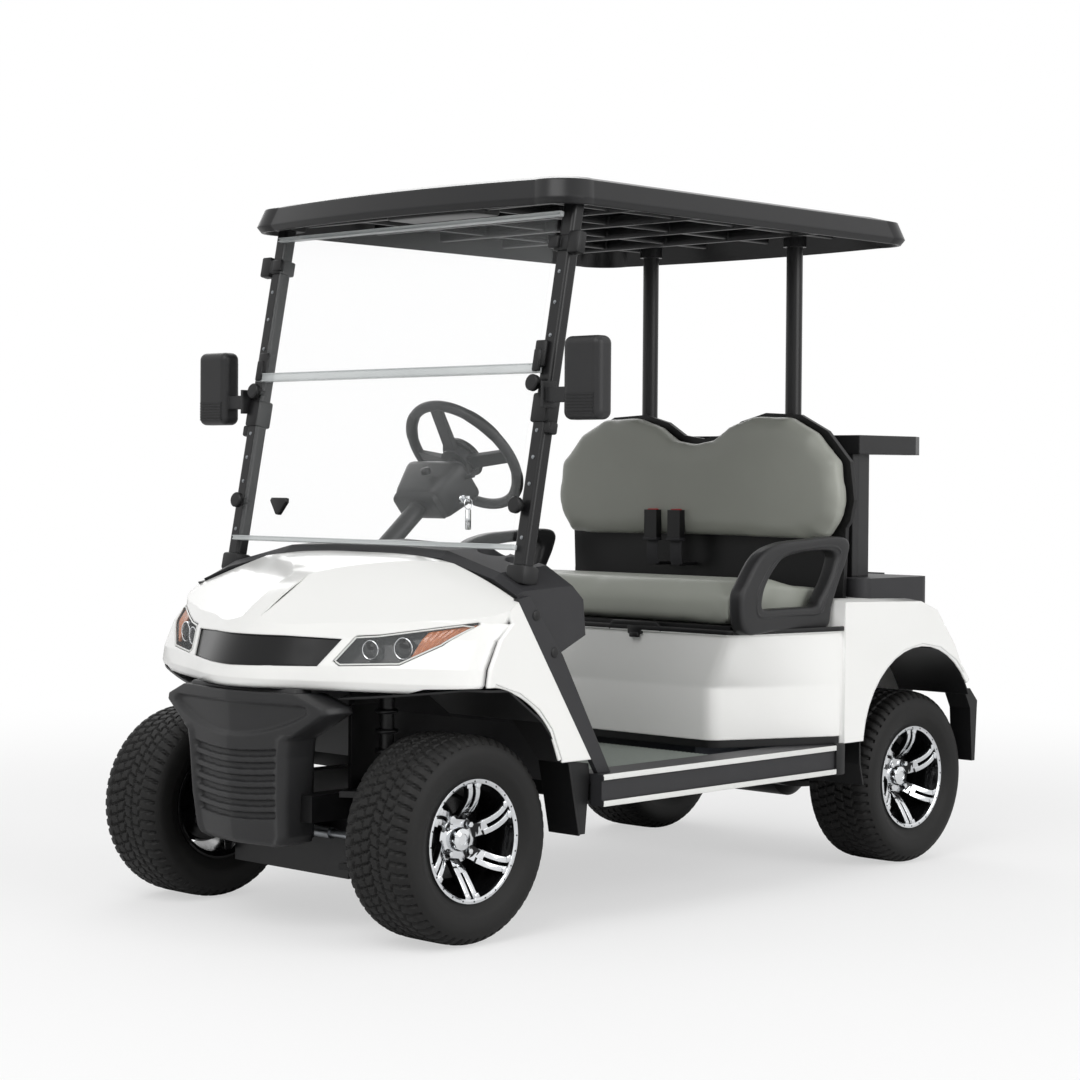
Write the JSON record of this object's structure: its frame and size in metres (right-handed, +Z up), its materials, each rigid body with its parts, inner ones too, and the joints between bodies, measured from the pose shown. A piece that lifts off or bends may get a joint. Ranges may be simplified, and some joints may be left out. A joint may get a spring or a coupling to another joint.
{
  "type": "golf cart",
  "caption": "White electric golf cart with a dark roof, a folding windscreen, a grey bench seat and a golf bag holder behind the seat.",
  "frame": {"origin": "on the ground, under the middle of the cart, midway between the axles", "axes": "+X to the cart's own left side, +Y to its rear, +Z up"},
  "size_m": [1.394, 2.1956, 1.718],
  "materials": {
    "body_paint": "white moulded body, glossy",
    "dark_plastic": "dark grey grained moulding",
    "black_plastic": "black moulding",
    "seat_vinyl": "grey vinyl",
    "seat_vinyl_light": "pale grey vinyl",
    "tyre_rubber": "black rubber",
    "alloy": "machined alloy",
    "sill_alloy": "sill with pale raised bands",
    "frame_steel": "black painted steel",
    "bright_steel": "steel",
    "post_metal": "grey painted tube",
    "clear_glass": "clear pane",
    "lamp_bowl": "lamp housing",
    "battery_case": "battery case",
    "belt_black": "belt buckle",
    "hand_wheel": "steering wheel"
  },
  "bodies": {
    "chassis": {"front_body": "body_paint", "rear_body": "body_paint", "dashboard": "dark_plastic", "front_bumper": "dark_plastic", "rear_deck": "dark_plastic", "bag_holder": "dark_plastic", "seat_surround": "dark_plastic", "steering_column": "dark_plastic", "mirrors": "dark_plastic", "armrests": "dark_plastic", "pedals": "dark_plastic", "roof": "dark_plastic", "wheel_liners": "black_plastic", "backrest_shell": "black_plastic", "windscreen_rails": "black_plastic", "grille_panel": "black_plastic", "floor_panel": "black_plastic", "backrest_cushion": "seat_vinyl", "sills": "sill_alloy", "frame_rails": "frame_steel", "frame_crossmembers": "frame_steel", "suspension_links": "frame_steel", "rear_axle": "frame_steel", "shock_absorbers": "bright_steel", "front_pillars": "post_metal", "rear_posts": "post_metal", "windscreen": "clear_glass", "lamp_lenses": "clear_glass", "headlamps": "lamp_bowl", "battery_pack": "battery_case", "seat_belts": "belt_black"},
    "knuckle_left_body": {"knuckle_left": "frame_steel"},
    "knuckle_right_body": {"knuckle_right": "frame_steel"},
    "wheel_front_left": {"tyre_front_left": "tyre_rubber", "rim_front_left": "alloy"},
    "wheel_front_right": {"tyre_front_right": "tyre_rubber", "rim_front_right": "alloy"},
    "wheel_rear_left": {"tyre_rear_left": "tyre_rubber", "rim_rear_left": "alloy"},
    "wheel_rear_right": {"tyre_rear_right": "tyre_rubber", "rim_rear_right": "alloy"},
    "rack_body": {"steering_rack": "bright_steel"},
    "hand_wheel_body": {"steering_wheel": "hand_wheel"},
    "seat_body": {"seat_cushion": "seat_vinyl_light", "seat_board": "black_plastic"}
  },
  "joints": [
    {"name": "steer_left", "type": "hinge", "parent": "chassis", "child": "knuckle_left_body", "pos_m": [0.316, -0.825, 0.23], "axis": [0, 0, 1], "range_deg": [-28, 28]},
    {"name": "steer_right", "type": "hinge", "parent": "chassis", "child": "knuckle_right_body", "pos_m": [-0.316, -0.825, 0.23], "axis": [0, 0, 1], "range_deg": [-28, 28]},
    {"name": "rack_slide", "type": "slide", "parent": "chassis", "child": "rack_body", "axis": [1, 0, 0], "range_m": [-0.052, 0.052]},
    {"name": "steering_turn", "type": "hinge", "parent": "chassis", "child": "hand_wheel_body", "pos_m": [-0.25, -0.105, 1.08], "axis": [0, 0.766, 0.6428], "range_deg": [-340, 340]},
    {"name": "wheel_spin_front_left", "type": "hinge", "parent": "knuckle_left_body", "child": "wheel_front_left", "pos_m": [0.4325, -0.825, 0.23], "axis": [1, 0, 0], "continuous": true},
    {"name": "wheel_spin_front_right", "type": "hinge", "parent": "knuckle_right_body", "child": "wheel_front_right", "pos_m": [-0.4325, -0.825, 0.23], "axis": [1, 0, 0], "continuous": true},
    {"name": "wheel_spin_rear_left", "type": "hinge", "parent": "chassis", "child": "wheel_rear_left", "pos_m": [0.4325, 0.825, 0.23], "axis": [1, 0, 0], "continuous": true},
    {"name": "wheel_spin_rear_right", "type": "hinge", "parent": "chassis", "child": "wheel_rear_right", "pos_m": [-0.4325, 0.825, 0.23], "axis": [1, 0, 0], "continuous": true},
    {"name": "seat_tilt", "type": "hinge", "parent": "chassis", "child": "seat_body", "pos_m": [0, 0.482, 0.646], "axis": [-1, 0, 0], "range_deg": [0, 40]}
  ],
  "couplings": [
    {"joint": "steer_right", "follows": "steer_left", "ratio": 1},
    {"joint": "rack_slide", "follows": "steer_left", "m_per_rad": 0.104},
    {"joint": "steering_turn", "follows": "steer_left", "ratio": 12}
  ]
}
